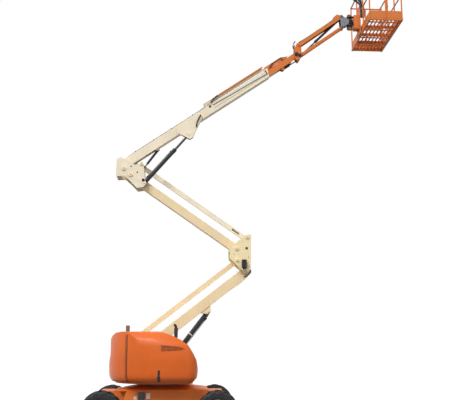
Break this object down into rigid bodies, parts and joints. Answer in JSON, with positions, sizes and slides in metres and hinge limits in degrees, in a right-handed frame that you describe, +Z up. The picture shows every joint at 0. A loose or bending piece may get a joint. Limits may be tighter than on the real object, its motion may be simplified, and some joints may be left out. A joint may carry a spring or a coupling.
{
  "type": "articulating boom lift",
  "caption": "Self-propelled boom lift: wheeled chassis, swinging turret, two parallelogram risers, telescopic boom, jib and rotating basket.",
  "frame": {"origin": "centre of the bounding box, on the ground plane under the tyres", "axes": "+Z up, +X along the chassis towards the raised basket, +Y across the chassis, away from the side that the picture shows"},
  "size_m": [7.0792, 2.29, 10.5751],
  "materials": {
    "base_boom": "satin enamel",
    "basket_floor": "galvanised",
    "basket_frame": "glossy enamel",
    "basket_gate": "glossy enamel",
    "boom_cylinder_barrel": "black enamel",
    "boom_cylinder_rod": "polished",
    "cable_tray": "galvanised",
    "chassis_frame": "glossy enamel",
    "control_console": "black enamel",
    "counterweight": "cast",
    "drive_axle": "black enamel",
    "engine_block": "dark steel",
    "exhaust": "heat stained",
    "fly_boom": "glossy enamel",
    "hood_far": "glossy enamel",
    "hood_near": "glossy enamel",
    "hydraulic_tank": "black enamel",
    "jib_bracket": "glossy enamel",
    "jib_cylinder_barrel": "black enamel",
    "jib_cylinder_rod": "polished",
    "jib_head": "dark steel",
    "jib_lower_arm": "glossy enamel",
    "jib_upper_arm": "glossy enamel",
    "knuckle_far": "dark steel",
    "knuckle_near": "dark steel",
    "level_cylinder_barrel": "black enamel",
    "level_cylinder_rod": "polished",
    "lower_link": "satin enamel",
    "lower_riser": "satin enamel",
    "mid_upright": "satin enamel",
    "platform_support": "glossy enamel",
    "propshaft": "dark steel",
    "push_tube": "glossy enamel",
    "rim_far_front": "off-white enamel",
    "rim_far_rear": "off-white enamel",
    "rim_near_front": "off-white enamel",
    "rim_near_rear": "off-white enamel",
    "riser_cylinder_barrel": "black enamel",
    "riser_cylinder_rod": "polished",
    "riser_guard": "black enamel",
    "slave_cylinder_barrel": "black enamel",
    "slave_cylinder_rod": "polished",
    "slew_ring": "dark steel",
    "steer_axle": "black enamel",
    "tail_casting": "glossy enamel",
    "tie_rod": "dark steel",
    "turret_frame": "glossy enamel",
    "tyre_far_front": "worn rubber",
    "tyre_far_rear": "worn rubber",
    "tyre_near_front": "worn rubber",
    "tyre_near_rear": "worn rubber",
    "upper_link": "satin enamel",
    "upper_riser": "satin enamel",
    "upper_upright": "satin enamel"
  },
  "bodies": {
    "chassis": {"chassis_frame": "chassis_frame", "steer_axle": "steer_axle", "drive_axle": "drive_axle", "propshaft": "propshaft", "slew_ring": "slew_ring"},
    "knuckle_near_body": {"knuckle_near": "knuckle_near"},
    "knuckle_far_body": {"knuckle_far": "knuckle_far"},
    "tie_rod_body": {"tie_rod": "tie_rod"},
    "wheel_near_rear": {"tyre_near_rear": "tyre_near_rear", "rim_near_rear": "rim_near_rear"},
    "wheel_far_rear": {"tyre_far_rear": "tyre_far_rear", "rim_far_rear": "rim_far_rear"},
    "wheel_near_front": {"tyre_near_front": "tyre_near_front", "rim_near_front": "rim_near_front"},
    "wheel_far_front": {"tyre_far_front": "tyre_far_front", "rim_far_front": "rim_far_front"},
    "turret": {"turret_frame": "turret_frame", "counterweight": "counterweight", "tail_casting": "tail_casting", "engine_block": "engine_block", "hydraulic_tank": "hydraulic_tank", "exhaust": "exhaust", "riser_guard": "riser_guard"},
    "hood_near_body": {"hood_near": "hood_near"},
    "hood_far_body": {"hood_far": "hood_far"},
    "lower_riser_body": {"lower_riser": "lower_riser"},
    "lower_link_body": {"lower_link": "lower_link"},
    "mid_upright_body": {"mid_upright": "mid_upright"},
    "upper_riser_body": {"upper_riser": "upper_riser"},
    "upper_link_body": {"upper_link": "upper_link"},
    "upper_upright_body": {"upper_upright": "upper_upright"},
    "riser_barrel_body": {"riser_cylinder_barrel": "riser_cylinder_barrel"},
    "riser_rod_body": {"riser_cylinder_rod": "riser_cylinder_rod"},
    "base_boom_body": {"base_boom": "base_boom", "cable_tray": "cable_tray"},
    "boom_barrel_body": {"boom_cylinder_barrel": "boom_cylinder_barrel"},
    "boom_rod_body": {"boom_cylinder_rod": "boom_cylinder_rod"},
    "level_rod_body": {"level_cylinder_rod": "level_cylinder_rod"},
    "level_barrel_body": {"level_cylinder_barrel": "level_cylinder_barrel"},
    "fly_body": {"fly_boom": "fly_boom", "push_tube": "push_tube", "slave_cylinder_barrel": "slave_cylinder_barrel"},
    "slave_rod_body": {"slave_cylinder_rod": "slave_cylinder_rod"},
    "jib_bracket_body": {"jib_bracket": "jib_bracket"},
    "jib_lower_body": {"jib_lower_arm": "jib_lower_arm"},
    "jib_upper_body": {"jib_upper_arm": "jib_upper_arm"},
    "jib_head_body": {"jib_head": "jib_head"},
    "jib_barrel_body": {"jib_cylinder_barrel": "jib_cylinder_barrel"},
    "jib_rod_body": {"jib_cylinder_rod": "jib_cylinder_rod"},
    "platform": {"platform_support": "platform_support", "basket_frame": "basket_frame", "basket_floor": "basket_floor", "control_console": "control_console"},
    "gate": {"basket_gate": "basket_gate"}
  },
  "joints": [
    {"name": "steer", "type": "hinge", "parent": "chassis", "child": "knuckle_near_body", "pos_m": [-3.11461, -0.77, 0.425], "axis": [0, 0, 1], "range_deg": [-35, 35]},
    {"name": "steer_far", "type": "hinge", "parent": "chassis", "child": "knuckle_far_body", "pos_m": [-3.11461, 0.77, 0.425], "axis": [0, 0, 1], "range_deg": [-35, 35]},
    {"name": "tie_rod_pivot", "type": "hinge", "parent": "knuckle_near_body", "child": "tie_rod_body", "pos_m": [-2.94461, -0.77, 0.265], "axis": [0, 0, 1], "range_deg": [-35, 35]},
    {"name": "wheel_spin_near_rear", "type": "hinge", "parent": "knuckle_near_body", "child": "wheel_near_rear", "pos_m": [-3.11461, -0.99, 0.425], "axis": [0, 1, 0], "continuous": true},
    {"name": "wheel_spin_far_rear", "type": "hinge", "parent": "knuckle_far_body", "child": "wheel_far_rear", "pos_m": [-3.11461, 0.99, 0.425], "axis": [0, 1, 0], "continuous": true},
    {"name": "wheel_spin_near_front", "type": "hinge", "parent": "chassis", "child": "wheel_near_front", "pos_m": [-0.75461, -0.99, 0.425], "axis": [0, 1, 0], "continuous": true},
    {"name": "wheel_spin_far_front", "type": "hinge", "parent": "chassis", "child": "wheel_far_front", "pos_m": [-0.75461, 0.99, 0.425], "axis": [0, 1, 0], "continuous": true},
    {"name": "swing", "type": "hinge", "parent": "chassis", "child": "turret", "pos_m": [-1.93461, 0, 0], "axis": [0, 0, 1], "range_deg": [-180, 180]},
    {"name": "hood_near_open", "type": "hinge", "parent": "turret", "child": "hood_near_body", "pos_m": [-1.93461, -0.365, 2.03], "axis": [-1, 0, 0], "range_deg": [0, 60]},
    {"name": "hood_far_open", "type": "hinge", "parent": "turret", "child": "hood_far_body", "pos_m": [-1.93461, 0.365, 2.03], "axis": [1, 0, 0], "range_deg": [0, 60]},
    {"name": "riser_lift", "type": "hinge", "parent": "turret", "child": "lower_riser_body", "pos_m": [-2.52361, 0, 1.488], "axis": [0, -1, 0], "range_deg": [-34, 31.5]},
    {"name": "lower_link_pivot", "type": "hinge", "parent": "turret", "child": "lower_link_body", "pos_m": [-2.75561, 0, 1.721], "axis": [0, -1, 0], "range_deg": [-34, 31.5]},
    {"name": "mid_upright_level", "type": "hinge", "parent": "lower_riser_body", "child": "mid_upright_body", "pos_m": [-0.07413, 0, 3.38801], "axis": [0, -1, 0], "range_deg": [-31.5, 34]},
    {"name": "upper_riser_lift", "type": "hinge", "parent": "mid_upright_body", "child": "upper_riser_body", "pos_m": [-0.31713, 0, 3.88301], "axis": [0, -1, 0], "range_deg": [-31.5, 34]},
    {"name": "upper_link_pivot", "type": "hinge", "parent": "mid_upright_body", "child": "upper_link_body", "pos_m": [-0.07513, 0, 4.14001], "axis": [0, -1, 0], "range_deg": [-31.5, 34]},
    {"name": "upper_upright_level", "type": "hinge", "parent": "upper_riser_body", "child": "upper_upright_body", "pos_m": [-2.73423, 0, 5.55669], "axis": [0, -1, 0], "range_deg": [-34, 31.5]},
    {"name": "riser_cylinder_pivot", "type": "hinge", "parent": "lower_riser_body", "child": "riser_barrel_body", "pos_m": [-0.94053, 0, 2.48183], "axis": [0, -1, 0], "range_deg": [-3.5, 3.3]},
    {"name": "riser_rod_slide", "type": "slide", "parent": "riser_barrel_body", "child": "riser_rod_body", "axis": [-0.6096, 0, -0.7927], "range_m": [-0.36, 0.33]},
    {"name": "boom_lift", "type": "hinge", "parent": "upper_upright_body", "child": "base_boom_body", "pos_m": [-2.89323, 0, 5.69669], "axis": [0, -1, 0], "range_deg": [-34.7, 38.3]},
    {"name": "boom_cylinder_pivot", "type": "hinge", "parent": "upper_upright_body", "child": "boom_barrel_body", "pos_m": [-2.42623, -0.145, 5.36569], "axis": [0, -1, 0], "range_deg": [-36, 40]},
    {"name": "boom_rod_slide", "type": "slide", "parent": "boom_barrel_body", "child": "boom_rod_body", "axis": [0.6479, 0, 0.7617], "range_m": [-0.33, 0.37]},
    {"name": "level_rod_pivot", "type": "hinge", "parent": "upper_upright_body", "child": "level_rod_body", "pos_m": [-2.50923, 0, 5.67869], "axis": [0, -1, 0], "range_deg": [-46, 51]},
    {"name": "level_barrel_slide", "type": "slide", "parent": "level_rod_body", "child": "level_barrel_body", "axis": [0.5862, 0, 0.8102], "range_m": [-0.19, 0.29]},
    {"name": "telescope", "type": "slide", "parent": "base_boom_body", "child": "fly_body", "axis": [0.8221, 0, 0.5693], "range_m": [0, 2.6]},
    {"name": "jib_bracket_level", "type": "hinge", "parent": "fly_body", "child": "jib_bracket_body", "pos_m": [1.13842, 0, 8.62214], "axis": [0, -1, 0], "range_deg": [-38.3, 34.7]},
    {"name": "slave_rod_slide", "type": "slide", "parent": "fly_body", "child": "slave_rod_body", "axis": [0.8221, 0, 0.5693], "range_m": [-0.09, 0.08]},
    {"name": "jib_lift", "type": "hinge", "parent": "jib_bracket_body", "child": "jib_lower_body", "pos_m": [1.22342, 0, 8.60014], "axis": [0, -1, 0], "range_deg": [-96.2, 38.8]},
    {"name": "jib_upper_pivot", "type": "hinge", "parent": "jib_bracket_body", "child": "jib_upper_body", "pos_m": [1.20342, 0, 8.86014], "axis": [0, -1, 0], "range_deg": [-96.2, 38.8]},
    {"name": "jib_head_level", "type": "hinge", "parent": "jib_upper_body", "child": "jib_head_body", "pos_m": [2.26861, 0, 9.63974], "axis": [0, -1, 0], "range_deg": [-38.8, 96.2]},
    {"name": "jib_cylinder_pivot", "type": "hinge", "parent": "jib_head_body", "child": "jib_barrel_body", "pos_m": [2.26861, 0, 9.63974], "axis": [0, -1, 0], "range_deg": [-94, 38.1]},
    {"name": "jib_rod_slide", "type": "slide", "parent": "jib_barrel_body", "child": "jib_rod_body", "axis": [-0.709, 0, -0.7052], "range_m": [-0.5, 0.21]},
    {"name": "platform_rotate", "type": "hinge", "parent": "jib_head_body", "child": "platform", "pos_m": [2.48361, 0, 9.63974], "axis": [0, 0, 1], "range_deg": [-90, 90]},
    {"name": "gate_swing", "type": "hinge", "parent": "platform", "child": "gate", "pos_m": [3.51361, 0.265, 9.80674], "axis": [0, 0, 1], "range_deg": [0, 85], "stiffness_Nm_per_rad": 5}
  ],
  "couplings": [
    {"joint": "steer_far", "follows": "steer", "ratio": 1},
    {"joint": "tie_rod_pivot", "follows": "steer", "ratio": -1},
    {"joint": "lower_link_pivot", "follows": "riser_lift", "ratio": 1},
    {"joint": "mid_upright_level", "follows": "riser_lift", "ratio": -1},
    {"joint": "upper_riser_lift", "follows": "riser_lift", "ratio": -1},
    {"joint": "upper_link_pivot", "follows": "riser_lift", "ratio": -1},
    {"joint": "upper_upright_level", "follows": "riser_lift", "ratio": 1},
    {"joint": "riser_cylinder_pivot", "follows": "riser_lift", "ratio": 0.047},
    {"joint": "riser_rod_slide", "follows": "riser_lift", "m_per_rad": 0.582},
    {"joint": "boom_cylinder_pivot", "follows": "boom_lift", "ratio": 1.016},
    {"joint": "boom_rod_slide", "follows": "boom_lift", "m_per_rad": 0.516},
    {"joint": "level_rod_pivot", "follows": "boom_lift", "ratio": 1.258},
    {"joint": "level_barrel_slide", "follows": "boom_lift", "m_per_rad": 0.281},
    {"joint": "jib_bracket_level", "follows": "boom_lift", "ratio": -1},
    {"joint": "slave_rod_slide", "follows": "boom_lift", "m_per_rad": -0.097},
    {"joint": "jib_upper_pivot", "follows": "jib_lift", "ratio": 1},
    {"joint": "jib_head_level", "follows": "jib_lift", "ratio": -1},
    {"joint": "jib_cylinder_pivot", "follows": "jib_lift", "ratio": 0.965},
    {"joint": "jib_rod_slide", "follows": "jib_lift", "m_per_rad": 0.29}
  ]
}
